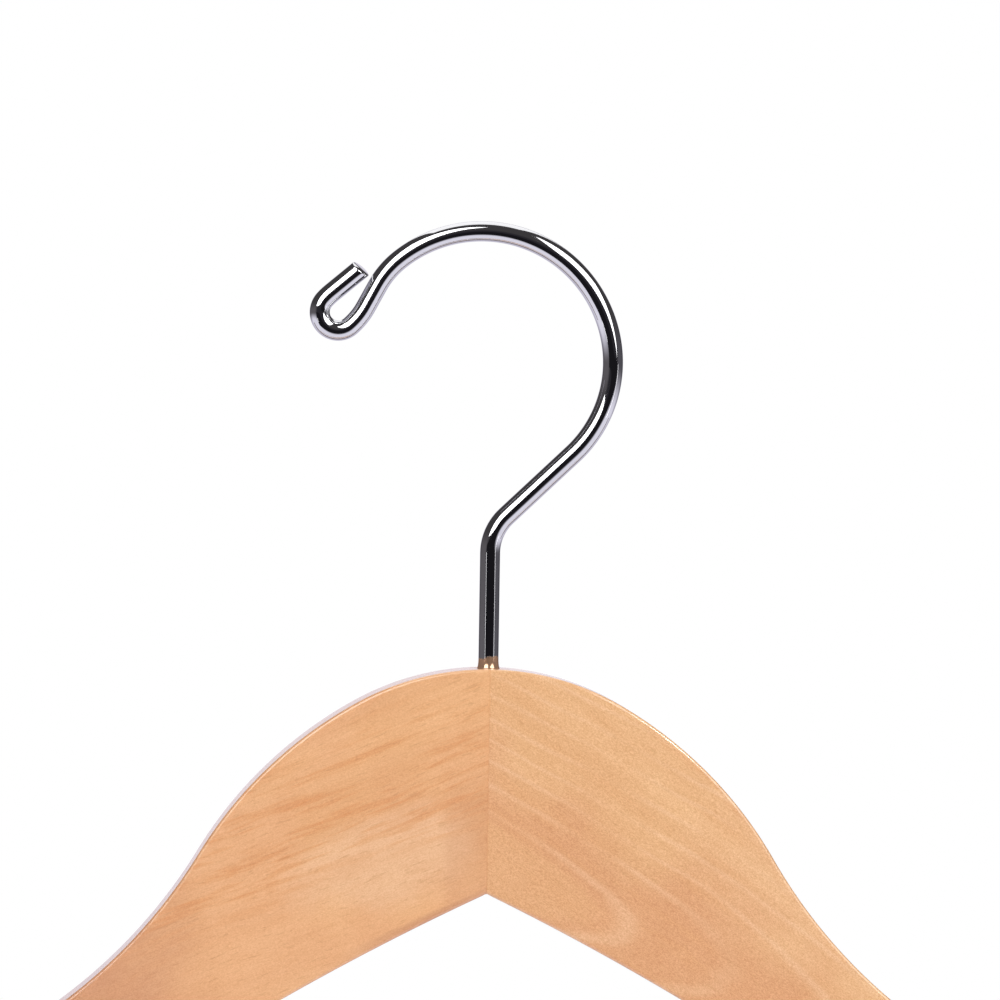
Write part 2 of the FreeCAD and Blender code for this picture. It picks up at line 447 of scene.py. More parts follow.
def lacquer(n, shader, place, fibres, flecks):
    """Satin wood whose fibres show in relief, under a glossy coat with a faint orange peel."""
    n.feed(shader, "Roughness", n.math("MULTIPLY_ADD", fibres, 0.12, 0.42))
    shader.inputs["Specular IOR Level"].default_value = 0.3
    shader.inputs["Coat Weight"].default_value = 0.9
    shader.inputs["Coat Roughness"].default_value = 0.045
    shader.inputs["Coat IOR"].default_value = 1.75
    relief = n.math("MULTIPLY_ADD", flecks, -1.0, fibres)
    n.feed(shader, "Normal", n.bump(relief, 0.12, 0.05 * MM))
    orange_peel = n.noise(n.mapping(place, scale=(0.26, 0.26, 0.26)), detail=1.0)
    n.feed(shader, "Coat Normal", n.bump(orange_peel, 0.05, 0.1 * MM))


def wood_material(name, look):
    """Lacquered pale hardwood: broad tones, streaks, growth lines, fibres, flecks and speckle."""
    material, n, shader = new_material(name)
    place = n.mapping(n.position(), scale=(1 / MM, 1 / MM, 1 / MM))
    grain, wander, fibre = grain_space(n, place, look)
    bands = tone_noise(n, fibre, look["band_scale"], 0.34, 0.68, 3.0)
    clouds = tone_noise(n, grain, look["cloud_scale"], 0.42, 0.62)
    figure = tone_noise(n, grain, (0.16, 0.05, 0.03), 0.38, 0.62)
    fibres = tone_noise(n, fibre, (0.16, 2.4, 2.4), 0.3, 0.7, 4.0, 0.65)
    start = look["fleck_start"]
    flecks = tone_noise(n, fibre, look["fleck_scale"], start, start + 0.12, 1.0, 0.4)
    speckle = tone_noise(n, fibre, (2.8, 5.2, 5.2), 0.25, 0.75, 2.0, 0.7)
    patchy = n.noise(n.mapping(place, scale=(0.05, 0.05, 0.05)), detail=3.0)
    streaks = streak_mask(n, place, fibre, fibres, patchy, look)
    rings, core_tone = ring_masks(n, place, grain, wander, fibre, look)

    layers = [
        (clouds, look["cloud_share"], look["cloud"]),
        (patch_mask(n, place, patchy, look), look["patch_share"], look["patch_tone"]),
        (core_tone, look["core_share"], look["dark"]),
    ]
    # the left arm's darker corner tone, with painted shade along its underside by the seam
    if "corner" in look:
        layers.append((seam_corner_and_painted_shade(n, place), look["corner_and_shade_share"], look["corner"]))
    layers += [
        (far_mask(n, place, clouds, look), look["far_share"], look["far_tone"]),
        (streaks, look["streak_share"], look["streak"]),
        (rings, look["ring_share"], look["ring"]),
        (flecks, look["fleck_share"], look["fleck"]),
    ]
    colour = n.mix(bands, look["light"], look["dark"])
    for mask, share, tone in layers:
        colour = n.mix(n.math("MULTIPLY", mask, share), colour, tone)

    shade = n.swing(fibres, look["fibre_contrast"])
    shade = n.math("MULTIPLY", shade, n.swing(speckle, look["speckle_contrast"]))
    shade = n.math("MULTIPLY", shade, n.swing(figure, look["figure_contrast"]))
    channels = {}
    for i, share in enumerate(SHADE_SHARES):
        channels[i] = n.math("MULTIPLY_ADD", shade, share, 1.0 - share)
    shade_colour = n.add("ShaderNodeCombineColor", channels).outputs[0]
    n.feed(shader, "Base Color", n.mix(1.0, colour, shade_colour, "MULTIPLY"))
    lacquer(n, shader, place, fibres, flecks)
    return material


# Angles are degrees and scales are features per millimetre.  The streak line and the patch have
# their centre at (x, height over the wood's top), the far tone comes in over a range of x, and a
# share says how strongly a tone shows.
LEFT_LOOK = {
    "grain_tilt": 22.0,
    "offset": (40.0, 13.0, 7.0),
    "wander": 5.0,
    "band_scale": (0.018, 0.05, 0.12),
    "cloud_scale": (0.030, 0.03, 0.035),
    "streak_scale": (0.042, 0.5, 0.72),
    "streak_ramp": (0.44, 0.62),
    "streak_feather": 0.9,
    "streak_line": (-37.0, -30.0),
    "streak_reach": (6.0, 16.0),
    "patch": (-20.0, -38.0),
    "patch_size": (0.058, 0.11),
    "ring_core": (60.0, 60.0, 170.0),
    "ring_tilt": 22.0,
    "ring_stretch": (0.12, 0.6, 1.0),
    "ring_uneven": 9.0,
    "ring_gap": 7.5,
    "ring_shift": 0.0,
    "core_edge": 5.0,
    "core_share": 0.0,
    # tone of the corner, also used for the painted shade along the underside
    "corner": rgb(216, 156, 116),
    "corner_and_shade_share": 0.85,
    "far": (-28.0, -80.0),
    "far_share": 0.90,
    "fleck_scale": (0.30, 2.8, 2.8),
    "fleck_start": 0.62,
    "light": rgb(243, 187, 135),
    "dark": rgb(235, 176, 125),
    "cloud": rgb(240, 181, 138),
    "cloud_share": 0.35,
    "patch_tone": rgb(246, 200, 158),
    "patch_share": 0.62,
    "far_tone": rgb(217, 157, 119),
    "streak": rgb(227, 153, 97),
    "streak_share": 0.58,
    "ring": rgb(243, 193, 146),
    "ring_share": 0.12,
    "fleck": rgb(204, 140, 92),
    "fleck_share": 0.30,
    "fibre_contrast": 0.08,
    "speckle_contrast": 0.28,
    "figure_contrast": 0.03,
}
RIGHT_LOOK = {
    "grain_tilt": -35.0,
    "offset": (-20.0, 31.0, 12.0),
    "wander": 3.5,
    "band_scale": (0.012, 0.05, 0.11),
    "cloud_scale": (0.03, 0.03, 0.03),
    "streak_scale": (0.025, 0.4, 0.36),
    "streak_ramp": (0.50, 0.63),
    "streak_feather": 0.5,
    "streak_line": (30.0, -20.0),
    "streak_reach": (20.0, 40.0),
    "patch": (20.0, -58.0),
    "patch_size": (0.004, 0.044),
    "ring_core": (22.0, 2.0, 111.0),
    "ring_tilt": -26.0,
    "ring_stretch": (0.17, 0.5, 1.0),
    "ring_uneven": 3.5,
    "ring_gap": 3.9,
    "ring_shift": 2.1,
    "core_edge": 11.0,
    "core_share": 0.55,
    "far": (200.0, 300.0),
    "far_share": 0.5,
    "fleck_scale": (0.42, 3.0, 3.0),
    "fleck_start": 0.64,
    "light": rgb(246, 196, 145),
    "dark": rgb(237, 183, 132),
    "cloud": rgb(241, 189, 144),
    "cloud_share": 0.35,
    "patch_tone": rgb(227, 164, 119),
    "patch_share": 0.75,
    "far_tone": rgb(226, 168, 120),
    "streak": rgb(233, 173, 121),
    "streak_share": 0.30,
    "ring": rgb(251, 208, 165),
    "ring_share": 0.36,
    "fleck": rgb(214, 156, 102),
    "fleck_share": 0.28,
    "fibre_contrast": 0.08,
    "speckle_contrast": 0.44,
    "figure_contrast": 0.02,
}


def raw_wood_material():
    """Unlacquered end grain inside the bore and the recess, with the drill's rings."""
    material, n, shader = new_material("raw_wood")
    position = n.position()
    speckle = n.noise(position, scale=1800.0, detail=4.0, roughness=0.7)
    tone = n.mix(n.remap(speckle, 0.3, 0.7), rgb(196, 140, 94), rgb(226, 176, 130))
    height = n.math("MULTIPLY_ADD", speckle, 0.2 * MM, n.split(position)["Z"])
    rings = n.math("SINE", n.math("MULTIPLY", height, 2 * math.pi / (0.4 * MM)))
    rings = n.remap(rings, -1.0, 1.0, 0.0, 0.2)
    n.feed(shader, "Base Color", n.mix(rings, tone, rgb(150, 98, 60)))
    n.feed(shader, "Roughness", n.remap(speckle, 0.2, 0.8, 0.7, 0.9))
    n.feed(shader, "Normal", n.bump(speckle, 0.3, 0.1 * MM))
    return material


# ---------------------------------------------------------------- metal materials
# Noise scales in metal and in raw wood are features per metre.

FILM_WAVE = 1.8                     # noise lifts the film's height by up to this
FILM_FOOT = (-1.0, -0.8)            # its colour starts here, over the wood's top
FILM_RIM = (0.7, 1.05)              # and ends here, over the top of the film, before the lift


def film_mask(n, position):
    """The warm film of lacquer at the foot of the shank, with an uneven upper edge."""
    uneven = n.noise(position, scale=420.0, detail=1.0)
    height = n.math("MULTIPLY_ADD", uneven, FILM_WAVE * MM, n.split(position)["Z"])
    foot = [(WOOD_TOP + edge) * MM for edge in FILM_FOOT]
    rim = [(WOOD_TOP + FILM_HEIGHT + edge) * MM for edge in FILM_RIM]
    return n.math("MULTIPLY", n.remap(height, *foot), n.remap(height, *rim, 1.0, 0.0))


def metal_material(name, light, dark, roughness, grain_size, bump_strength, filmed=False):
    """Bright metal whose gloss and tone vary a little over the surface."""
    material, n, shader = new_material(name)
    position = n.position()
    low, high = roughness
    cloudy = n.noise(position, scale=60.0, detail=3.0)
    fine = n.noise(position, scale=1.0 / (grain_size * MM), detail=3.0, roughness=0.6)
    drawn = n.mapping(position, rotation=(0.3, 0.7, 0.2), scale=(300, 4000, 900))
    scratches = n.remap(n.noise(drawn, detail=2.0), 0.62, 0.74)
    tone = n.math("ADD", n.math("MULTIPLY", cloudy, 0.6), n.math("MULTIPLY", fine, 0.4))
    colour = n.mix(n.remap(tone, 0.3, 0.7), light, dark)
    gloss = n.remap(tone, 0.3, 0.7, low, high)
    gloss = n.math("MULTIPLY_ADD", scratches, (high - low) * 1.5, gloss)
    shader.inputs["Metallic"].default_value = 1.0
    if filmed:
        film = film_mask(n, position)
        colour = n.mix(film, colour, rgb(228, 186, 154))
        gloss = n.math("MULTIPLY_ADD", film, 0.06, gloss)
        n.feed(shader, "Metallic", n.math("MULTIPLY_ADD", film, -0.30, 1.0))
    n.feed(shader, "Base Color", colour)
    n.feed(shader, "Roughness", gloss)
    n.feed(shader, "Normal", n.bump(fine, bump_strength, 0.02 * MM))
    return material


# ---------------------------------------------------------------- hook

CUT_ROUND = ((1.0, 0.0), (0.4, 0.3), (0.0, 1.0))    # (setback, inset) of its edge, in chamfers


def hook_stations():
    """Stations of the whole wire, threaded end first."""
    stations = []
    z = THREAD_END
    while z < THREAD_END + THREAD_LENGTH + THREAD_FADE:
        stations.append((0.0, z, 90.0))
        z += THREAD_PITCH / THREAD_STATIONS
    while z < WOOD_TOP - SHANK_SPACING / 3:
        stations.append((0.0, z, 90.0))
        z += SHANK_SPACING
    for i in range(FILM_STATIONS):
        stations.append((0.0, WOOD_TOP + FILM_HEIGHT * i / FILM_STATIONS, 90.0))
    steps = [("run", HOOK_STEPS[0][1] - FILM_HEIGHT)] + HOOK_STEPS[1:]
    return stations + walk((0.0, WOOD_TOP + FILM_HEIGHT), 90.0, steps, WIRE_SPACING)


def shank_radius(z, angle):
    """Radius of the shank at a height and an angle round it: thread, plain wire, lacquer film."""
    if z >= WOOD_TOP:
        climb = min(1.0, (z - WOOD_TOP) / FILM_HEIGHT)
        return WIRE_R + FILM_FLARE * (1 - climb) ** 3
    rise = z - THREAD_END
    if rise > THREAD_LENGTH + THREAD_FADE:
        return WIRE_R
    phase = (rise / THREAD_PITCH - angle / (2 * math.pi)) % 1.0
    groove = min(1.0, max(0.0, (GROOVE_EDGE - abs(phase - 0.5)) / GROOVE_FLANK))
    fade = min(1.0, max(0.0, (THREAD_LENGTH + THREAD_FADE - rise) / THREAD_FADE))
    radius = WIRE_R - CREST_CUT - THREAD_DEPTH * groove * fade
    return min(radius, WIRE_R - THREAD_CHAMFER + rise)


def wire_ring(station, angles, radii, lean=(0.0, 0.0), back=0.0):
    """Points round the wire at a station, on a face that may lean and stand back."""
    x, z, heading = station
    tx, tz = unit(heading)
    nx, nz = unit(heading + 90.0)
    points = []
    for angle, radius in zip(angles, radii):
        across, deep = radius * math.cos(angle), radius * math.sin(angle)
        along = lean[1] * deep - lean[0] * across - back
        points.append((x + nx * across + tx * along, deep, z + nz * across + tz * along))
    return points


def make_hook(material):
    """Round wire swept along its path, with a thread at one end and a cut face at the other."""
    angles = [2 * math.pi * i / WIRE_SEGMENTS for i in range(WIRE_SEGMENTS)]
    stations = hook_stations()
    verts = []
    for x, z, heading in stations[:-1]:
        radii = [WIRE_R] * WIRE_SEGMENTS
        if x == 0.0 and z < WOOD_TOP + FILM_HEIGHT:
            radii = [shank_radius(z, angle) for angle in angles]
        verts += wire_ring((x, z, heading), angles, radii)
    for back, inset in CUT_ROUND:
        radii = [WIRE_R - CUT_CHAMFER * inset] * WIRE_SEGMENTS
        setback = CUT_SETBACK + CUT_CHAMFER * back
        verts += wire_ring(stations[-1], angles, radii, CUT_LEAN, setback)
    starts = range(0, len(verts), WIRE_SEGMENTS)
    rings = [list(range(start, start + WIRE_SEGMENTS)) for start in starts]
    faces = skin(rings, closed=True) + [rings[0][::-1], rings[-1]]
    return new_object("hook_wire", verts, faces, [material], 35.0)


# ---------------------------------------------------------------- wood arms

NOTCH_GAP = 0.05                    # stations of the top edge this near the notch are left out
SUPPORT = 0.2                       # flat band inside each round-over keeps the face flat
SIDE_ROWS = (-4.5, -3.4, -2.25, -1.1, 0.0, 1.1, 2.25, 3.4, 4.5)
ROUND_STEPS = 8
BLEND_REACH = 12.0                  # how far from the seam the stations shift for the zigzag
SEAM_EASE = 0.1
SEAM_REACH = 1.0                    # the stations this near the seam make room for its eased edge


def top_steps():
    """Bends of the arm's top edge; the last one's radius brings it to the start of the tip."""
    steps = [("bend",) + CROWN_BEND, ("bend",) + SHOULDER_BEND, ("bend",) + NECK_BEND]
    x, _, slope = walk((0.0, WOOD_TOP), 0.0, steps, EDGE_SPACING)[-1]
    tip_x = HALF_SPAN - TIP_DEPTH / 2 * (1 + sin_deg(TIP_SLOPE))
    radius = (tip_x - x) / (sin_deg(TIP_SLOPE) - sin_deg(slope))
    steps.append(("bend", radius, TIP_SLOPE - slope))
    return steps


def bottom_steps(tip_end):
    """Bends of the underside from the tip to the apex, with radii that make them meet."""
    apex_x = APEX_ROUND * -sin_deg(APEX_SLOPE)
    apex_z = WOOD_TOP - CENTRE_DEPTH - APEX_ROUND * (1 - cos_deg(APEX_SLOPE))
    # what the bends near the apex (1) and near the tip (2) span at a radius of one
    run_1 = sin_deg(APEX_SLOPE) - sin_deg(STEEPEST_SLOPE)
    run_2 = sin_deg(TIP_SLOPE) - sin_deg(STEEPEST_SLOPE)
    drop_1 = cos_deg(APEX_SLOPE) - cos_deg(STEEPEST_SLOPE)
    drop_2 = cos_deg(TIP_SLOPE) - cos_deg(STEEPEST_SLOPE)
    run, drop = tip_end[0] - apex_x, apex_z - tip_end[1]
    determinant = run_1 * drop_2 - run_2 * drop_1
    steepening = (run * drop_2 - run_2 * drop) / determinant
    flattening = (run_1 * drop - run * drop_1) / determinant
    return [
        ("bend", flattening, STEEPEST_SLOPE - TIP_SLOPE),
        ("bend", steepening, APEX_SLOPE - STEEPEST_SLOPE),
        ("bend", APEX_ROUND, -APEX_SLOPE),
    ]


def notch_arc(centre, radius, start, end):
    """Arc of the strap notch between two headings."""
    turn = end - start
    return arc_stations(centre, radius, start, turn, math.ceil(abs(turn) / NOTCH_STEP))


def mouth_round(top, x):
    """Centre of a mouth round at x, tangent to the sloping top edge, and the slope there."""
    height, slope = edge_at(top, x)
    return (x, height - NOTCH_MOUTH_ROUND / cos_deg(slope)), slope


def notch_stations(top):
    """The strap notch: mouth round, wall, round floor, wall, mouth round."""
    half = NOTCH_WIDTH / 2
    floor_z = edge_at(top, NOTCH_X)[0] - NOTCH_DEPTH + half
    centre_in, slope_in = mouth_round(top, NOTCH_X - half - NOTCH_MOUTH_ROUND)
    centre_out, slope_out = mouth_round(top, NOTCH_X + half + NOTCH_MOUTH_ROUND)
    stations = notch_arc(centre_in, NOTCH_MOUTH_ROUND, slope_in, -90.0)
    stations.append((NOTCH_X - half, (centre_in[1] + floor_z) / 2, -90.0))
    stations += notch_arc((NOTCH_X, floor_z), half, -90.0, 90.0)
    stations.append((NOTCH_X + half, (centre_out[1] + floor_z) / 2, 90.0))
    stations += notch_arc(centre_out, NOTCH_MOUTH_ROUND, 90.0, slope_out)
    return stations


def arm_outline():
    """Stations of the right arm's edge from the seam round the tip to the apex; its underside."""
    top = walk((0.0, WOOD_TOP), 0.0, top_steps(), EDGE_SPACING)
    notch = notch_stations(top)
    before = [s for s in top if s[0] < notch[0][0] - NOTCH_GAP]
    after = [s for s in top if s[0] > notch[-1][0] + NOTCH_GAP]
    tip = walk(top[-1][:2], TIP_SLOPE, [("bend", TIP_DEPTH / 2, -180.0)], TIP_SPACING)[1:]
    bottom = walk(tip[-1][:2], TIP_SLOPE - 180.0, bottom_steps(tip[-1]), EDGE_SPACING)[1:]
    return before + notch + after + tip + bottom, bottom


def seam_edges(bottom):
    """Finely spaced top edge and underside as far as the zigzag shifts stations, seam first."""
    reach = BLEND_REACH + 2 * FINGER_LENGTH
    top = walk((0.0, WOOD_TOP), 0.0, top_steps()[:1], SEAM_SPACING)
    apex = (0.0, WOOD_TOP - CENTRE_DEPTH)
    near = walk(apex, 0.0, [("bend", APEX_ROUND, APEX_SLOPE)], APEX_SPACING)
    past_near = near[-1][0] + APEX_SPACING / 2
    return top, near + [s for s in reversed(bottom) if past_near < s[0] < reach]


def profile_rows():
    """(inset, y, inset direction, y direction) of each row, front face to back face."""
    face = THICKNESS / 2
    front = [(EDGE_ROUND + SUPPORT, -face, 0.0, -1.0)]
    for i in range(ROUND_STEPS + 1):
        angle = 90.0 * i / ROUND_STEPS
        inset = EDGE_ROUND * (1 - sin_deg(angle))
        y = -face + EDGE_ROUND * (1 - cos_deg(angle))
        front.append((inset, y, sin_deg(angle), -cos_deg(angle)))
    side = [(0.0, y, 1.0, 0.0) for y in SIDE_ROWS]
    back = [(inset, -y, out, -turn) for inset, y, out, turn in reversed(front)]
    return front + side + back


def zigzag(y):
    """x of the glue line at a depth y, for the right arm."""
    root = THICKNESS / 2 - SHOULDER_WIDTH
    half = root / 2
    size = abs(y)
    if size >= root:
        return 0.0
    reach = size / half if size <= half else (root - size) / half
    return math.copysign(FINGER_LENGTH * reach, -y)


def arm_grid():
    """Vertices round the right arm's edge, and their numbers as one line per station."""
    outline, bottom = arm_outline()
    seam_top, seam_bottom = seam_edges(bottom)
    rows = profile_rows()
    verts, grid = [], []
    for x, z, heading in outline:
        ox, oz = unit(heading + 90.0)
        edge = seam_top if z > WOOD_TOP - CENTRE_DEPTH / 2 else seam_bottom
        line = []
        for inset, y, _, _ in rows:
            px, pz = x - ox * inset, z - oz * inset
            shift = zigzag(y)
            if x < BLEND_REACH and shift:
                px = x + shift * (1 - x / BLEND_REACH)
                pz = edge_at(edge, px)[0]
            px += SEAM_EASE * max(0.0, 1 - x / SEAM_REACH)
            line.append(len(verts))
            verts.append((px, y, pz))
        grid.append(line)
    return verts, grid


def eased_line(verts, line, up):
    """Adds the inner line of the seam's eased edge; up is 1 at the top and -1 at the underside."""
    eased = []
    for number, (_, _, out, turn) in zip(line, profile_rows()):
        x, y, z = verts[number]
        eased.append(len(verts))
        verts.append((x - SEAM_EASE, y - turn * SEAM_EASE, z - up * out * SEAM_EASE))
    return eased


def make_arm(name, material, raw, turned):
    """One arm as a closed mesh, with its half of the zigzag glue joint and its bore and recess."""
    verts, grid = arm_grid()
    faces = skin(grid)
    faces.append([line[0] for line in grid])
    faces.append([line[-1] for line in reversed(grid)])
    top_line = eased_line(verts, grid[0], 1.0)
    bottom_line = eased_line(verts, grid[-1], -1.0)
    faces += bridge(grid[0] + grid[-1][::-1], top_line + bottom_line[::-1], closed=True)
    faces += bridge(top_line, bottom_line)
    if turned:
        verts = [(-x, -y, z) for x, y, z in verts]
    arm = new_object(name, verts, faces, [material, raw])
    drill(arm, raw)
    return arm


def drill(arm, raw):
    """Cut the shank bore and the recess, then shade the result again."""
    floor_z = WOOD_TOP - CENTRE_DEPTH + RECESS_DEPTH
    below = WOOD_TOP - 2 * CENTRE_DEPTH
    profile = [
        (0.0, below),
        (RECESS_R, below),
        (RECESS_R, floor_z),
        (BORE_R, floor_z),
        (BORE_R, WOOD_TOP - BORE_EASE),
        (BORE_R + 2 * BORE_EASE, WOOD_TOP + BORE_EASE),
        (0.0, WOOD_TOP + BORE_EASE),
    ]
    cutter = lathe("cutter", profile, BORE_SEGMENTS, [raw])
    modifier = arm.modifiers.new("bore", "BOOLEAN")
    modifier.operation = "DIFFERENCE"
    modifier.solver = "EXACT"
    modifier.material_mode = "TRANSFER"
    modifier.object = cutter
    evaluated = arm.evaluated_get(bpy.context.evaluated_depsgraph_get())
    result = bpy.data.meshes.new_from_object(evaluated)
    arm.modifiers.clear()
    old = arm.data
    arm.data = result
    bpy.data.meshes.remove(old)
    bpy.data.objects.remove(cutter)
    finish_mesh(arm, SMOOTH_ANGLE)


# ---------------------------------------------------------------- washer and nut


def make_washer(material):
    """Stamped washer: the outer edge rounded above and barely broken below, the hole eased."""
    ease = WASHER_EASE
    profile = [
        (WASHER_BORE_R + ease, WASHER_BOTTOM),
        (WASHER_R - ease * 0.5, WASHER_BOTTOM),
        (WASHER_R, WASHER_BOTTOM + ease * 0.5),
        (WASHER_R, WASHER_TOP - ease),
        (WASHER_R - ease * 0.3, WASHER_TOP - ease * 0.3),
        (WASHER_R - ease, WASHER_TOP),
        (WASHER_BORE_R + ease, WASHER_TOP),
        (WASHER_BORE_R, WASHER_TOP - ease),
        (WASHER_BORE_R, WASHER_BOTTOM + ease),
    ]
    return lathe("washer_zinc", profile, WASHER_SEGMENTS, [material], closed=True, smooth_angle=25.0)


def hex_radius(angle):
    """Distance from the nut's axis to its flats, at an angle in degrees."""
    return NUT_FLATS / 2 / cos_deg(angle % 60.0 - 30.0)


def make_nut(material):
    """Hexagon nut with curved corner chamfers and a countersunk hole."""
    half = NUT_HEIGHT / 2
    flat_r = NUT_FLATS / 2
    rise = math.tan(math.radians(NUT_CORNER_ANGLE))
    angles = [360.0 * i / NUT_SEGMENTS for i in range(NUT_SEGMENTS)]
    round_rings = [
        (NUT_BORE_R, half - NUT_EASE),
        (NUT_BORE_R + NUT_EASE, half),
        (flat_r - NUT_FACE_INSET, half),
    ]
    upper = [[ring] * NUT_SEGMENTS for ring in round_rings]
    corners = [hex_radius(angle) for angle in angles]
    upper.append([(radius, half - (radius - flat_r) * rise) for radius in corners])
    lower = [[(radius, -height) for radius, height in ring] for ring in reversed(upper)]
    middle = NUT_BOTTOM + half
    verts, rings = [], []
    for ring in upper + lower:
        rings.append(list(range(len(verts), len(verts) + NUT_SEGMENTS)))
        for angle, (radius, height) in zip(angles, ring):
            verts.append((radius * sin_deg(angle), radius * cos_deg(angle), middle + height))
    faces = skin(rings + rings[:1], closed=True)
    return new_object("nut_zinc", verts, faces, [material], 20.0)


# ---------------------------------------------------------------- stage, lights and camera
# Lights and camera are in metres; the cards and the floor are in millimetres, like the pieces.

HOOK_MIDDLE = Vector((0.0, 0.0, -0.03))         # the lights face this point
FRAME_CENTRE = Vector((0.0018, 0.0, -0.0509))   # the camera faces this one
FRAME_WIDTH = 0.1972                # and takes in this much there
CAMERA_AZIMUTH = -3.5
CAMERA_ELEVATION = 1.5
CAMERA_ROLL = 0.89
LENS = 300.0
SENSOR = 36.0
BLACK_CARD_THICKNESS = 4.0
TAN_CARD_THICKNESS = 2.0
FLOOR_RADIUS = 500.0
FLOOR_THICKNESS = 4.0
FLOOR_GAP = 0.5                     # between the hanger's tips and the floor
FLOOR_EDGE = (2.0, 1.0)             # (inset, drop) of the floor's broken edge


def area_light(name, polar, around, distance, size, radiance, roll=0.0, drop=0.0):
    """Soft box seen from the hook: polar angle off the camera side, and angle round from +X."""
    light = bpy.data.lights.new(name, "AREA")
    light.shape = "RECTANGLE"
    light.size, light.size_y = size
    light.energy = radiance * math.pi * size[0] * size[1]
    obj = bpy.data.objects.new(name, light)
    bpy.context.scene.collection.objects.link(obj)
    side_x, side_z = unit(around)
    way = Vector((sin_deg(polar) * side_x, -cos_deg(polar), sin_deg(polar) * side_z))
    obj.location = HOOK_MIDDLE + way * distance - Vector((0.0, 0.0, drop))
    turn = Matrix.Rotation(math.radians(roll), 3, "Z")
    obj.rotation_euler = (way.to_track_quat("Z", "Y").to_matrix() @ turn).to_euler()
    obj.visible_camera = False
    return obj


def make_lights():
    """Large boxes left, right and above, small lights for thin highlights, and a fill behind.

    The lamp stands inside the right box and shows only in glossy surfaces.
    """
    area_light("left_box", 40.0, 125.0, 2.0, (1.40, 1.68), 3.6, roll=-10.0)
    area_light("right_box", 52.8, 38.0, 2.0, (1.72, 1.25), 3.1, roll=51.0)
    lamp = area_light("right_lamp", 52.8, 42.5, 1.9, (0.33, 0.27), 24.0)
    lamp.visible_diffuse = False
    area_light("top_box", 118.0, 87.0, 1.8, (1.4, 2.3), 1.35)
    area_light("left_strip", 44.0, 180.0, 0.27, (0.010, 0.036), 2.5, drop=0.053)
    area_light("right_strip", 60.0, -12.0, 2.0, (0.09, 0.70), 2.2)
    back_fill = area_light("back_fill", 160.0, 180.0, 2.2, (1.4, 1.4), 1.7)
    back_fill.visible_glossy = False


def glossy_card(name, colour, rows):
    """Thin card of one even tone between two rows of corners; only mirror reflections see it."""
    material, _, shader = new_material(name)
    shader.inputs["Base Color"].default_value = (0.0, 0.0, 0.0, 1.0)
    shader.inputs["Specular IOR Level"].default_value = 0.0
    shader.inputs["Emission Color"].default_value = colour
    shader.inputs["Emission Strength"].default_value = 1.0
    count = len(rows[0])
    first, second = list(range(count)), list(range(count, 2 * count))
    faces = bridge(first, second, closed=True) + [first[::-1], second]
    card = new_object(name, rows[0] + rows[1], faces, [material])
    card.visible_camera = False
    card.visible_diffuse = False
    card.visible_shadow = False
    card.visible_transmission = False


def make_cards():
    """Black card low on the camera side, and a tan one behind that tints the hook's inner line."""
    floor_z = CAD_BOX[0].z / MM
    outline = [
        (-310.0, floor_z),
        (40.0, floor_z),
        (126.0, -165.0),
        (210.0, -120.0),
        (370.0, -92.0),
        (370.0, -20.0),
        (-310.0, -20.0),
    ]
    rows = [[(x, y, z) for x, z in outline] for y in (-300.0, -300.0 - BLACK_CARD_THICKNESS)]
    glossy_card("black_card", (0.013, 0.012, 0.015, 1.0), rows)
    outline = [(-480.0, 48.0), (480.0, 48.0), (480.0, 120.0), (-480.0, 120.0)]
    rows = [[(x, y, z) for x, y in outline] for z in (floor_z, floor_z + TAN_CARD_THICKNESS)]
    glossy_card("tan_card", (0.26, 0.20, 0.18, 1.0), rows)


def make_world():
    """Studio round the hanger, by direction; the camera itself sees plain white.

    White paper below and behind, near black on the camera side, and a dim grey above and at
    both ends.
    """
    world = bpy.data.worlds.new("studio")
    world.use_nodes = True
    bpy.context.scene.world = world
    n = Nodes(world.node_tree)
    way = n.split(n.add("ShaderNodeTexCoord").outputs["Generated"])
    to_left = n.remap(way["X"], -0.5, -0.9)
    to_right = n.remap(way["X"], 0.6, 0.95)
    above = n.remap(way["Z"], 0.05, 0.4)
    behind = n.remap(way["Y"], 0.84, 0.97)
    below = n.math("MULTIPLY", n.remap(way["Z"], -0.015, -0.34), n.remap(way["Y"], -0.86, -0.62))
    far_paper = n.remap(way["Y"], 0.15, 0.65)
    paper = n.mix(far_paper, (1.06, 1.04, 1.16, 1.0), (0.74, 0.71, 0.84, 1.0))
    layers = [
        (to_left, (0.145, 0.135, 0.145, 1.0)),
        (to_right, (0.115, 0.110, 0.125, 1.0)),
        (above, (0.066, 0.062, 0.064, 1.0)),
        (behind, (0.86, 0.83, 0.93, 1.0)),
        (below, paper),
        (n.add("ShaderNodeLightPath").outputs["Is Camera Ray"], (1.0, 1.0, 1.0, 1.0)),
    ]
    colour = (0.030, 0.028, 0.034, 1.0)
    for mask, tone in layers:
        colour = n.mix(mask, colour, tone)
    background = world.node_tree.nodes["Background"]
    n.feed(background, "Color", colour)
    background.inputs["Strength"].default_value = 1.0


def make_floor():
    """Round pale floor just under the hanger's tips."""
    material, n, shader = new_material("pale_floor")
    paper = n.noise(n.position(), scale=40.0, detail=3.0)
    n.feed(shader, "Base Color", n.mix(paper, (0.88, 0.87, 0.91, 1.0), (0.91, 0.90, 0.94, 1.0)))
    shader.inputs["Roughness"].default_value = 0.7
    top = CAD_BOX[0].z / MM - FLOOR_GAP
    inset, drop = FLOOR_EDGE
    profile = [
        (0.0, top),
        (FLOOR_RADIUS - inset, top),
        (FLOOR_RADIUS, top - drop),
        (FLOOR_RADIUS, top - FLOOR_THICKNESS),
        (0.0, top - FLOOR_THICKNESS),
    ]
    floor = lathe("floor", profile, FLOOR_SEGMENTS, [material])
    floor.visible_glossy = False


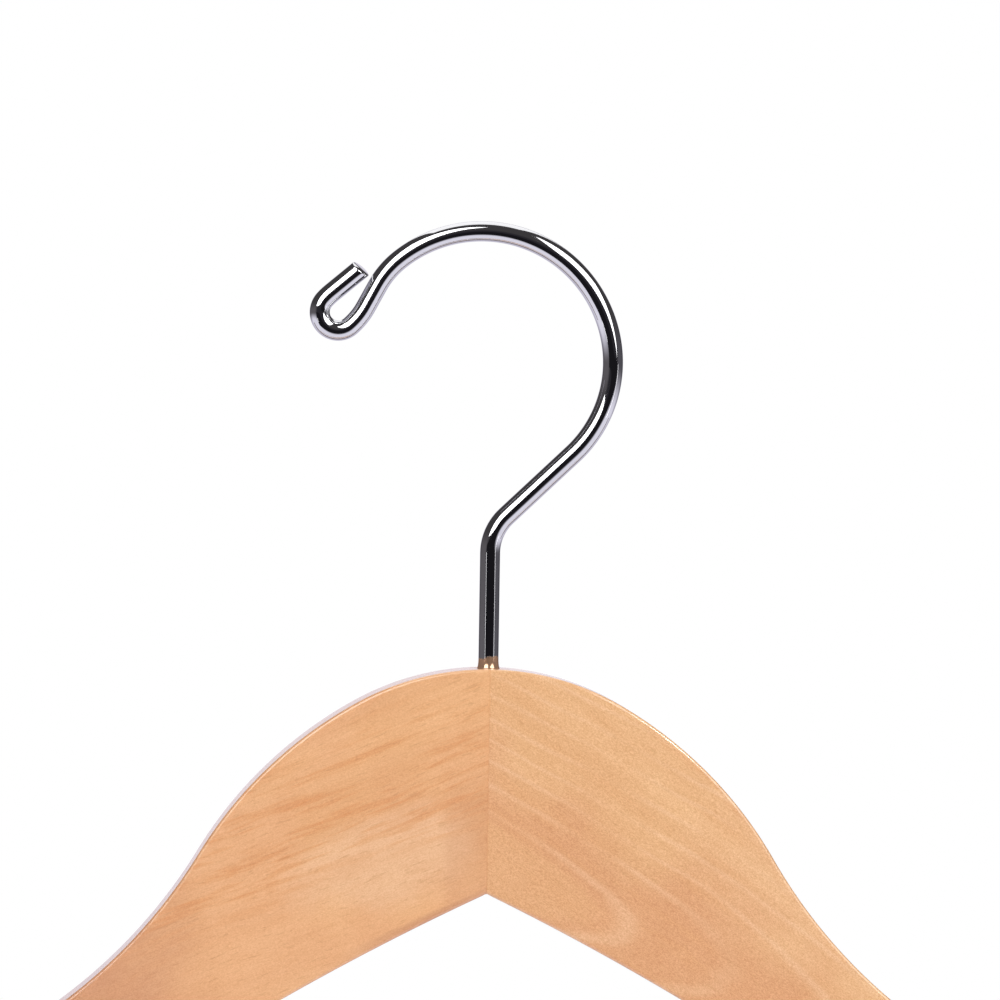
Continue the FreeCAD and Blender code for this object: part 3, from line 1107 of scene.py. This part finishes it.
def make_camera():
    """Long lens square on to the frame's centre, but for a few degrees of turn, height and roll."""
    camera = bpy.data.cameras.new("camera")
    camera.lens = LENS
    camera.sensor_width = SENSOR
    camera.clip_start = 0.05
    camera.clip_end = 50.0
    obj = bpy.data.objects.new("camera", camera)
    bpy.context.scene.collection.objects.link(obj)
    level, height = unit(CAMERA_ELEVATION)
    back = Vector((level * sin_deg(CAMERA_AZIMUTH), -level * cos_deg(CAMERA_AZIMUTH), height))
    obj.location = FRAME_CENTRE + back * (FRAME_WIDTH * LENS / SENSOR)
    roll = Matrix.Rotation(math.radians(CAMERA_ROLL), 3, "Z")
    obj.rotation_euler = (back.to_track_quat("Z", "Y").to_matrix() @ roll).to_euler()
    bpy.context.scene.camera = obj


# ---------------------------------------------------------------- build


def build():
    """The five pieces, each riding on its body in place of its CAD node."""
    chrome_tones = (0.66, 0.66, 0.68, 1.0), (0.60, 0.60, 0.62, 1.0)
    chrome = metal_material("chrome", *chrome_tones, (0.03, 0.05), 0.4, 0.01, filmed=True)
    zinc_tones = (0.62, 0.64, 0.66, 1.0), (0.48, 0.50, 0.54, 1.0)
    zinc = metal_material("zinc", *zinc_tones, (0.28, 0.42), 0.15, 0.25)
    raw = raw_wood_material()
    left_wood = wood_material("left_wood", LEFT_LOOK)
    right_wood = wood_material("right_wood", RIGHT_LOOK)
    hook_pieces = [
        (make_hook(chrome), "swivel_hook", "hook_chrome"),
        (make_washer(zinc), "hook_washer", "zinc_hardware"),
        (make_nut(zinc), "hook_nut", "zinc_hardware"),
    ]
    arms = [
        (make_arm("left_arm_visual", left_wood, raw, turned=True), "left_arm", "left_arm_wood"),
        (make_arm("right_arm_visual", right_wood, raw, turned=False), "right_arm", "right_arm_wood"),
    ]
    for body, pieces in (("hook", hook_pieces), ("shoulders", arms)):
        for obj, node, slot in pieces:
            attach(obj, body)
            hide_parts(node)


build()
make_floor()
make_cards()
make_world()
make_lights()
make_camera()
bpy.context.scene.view_settings.view_transform = "Standard"
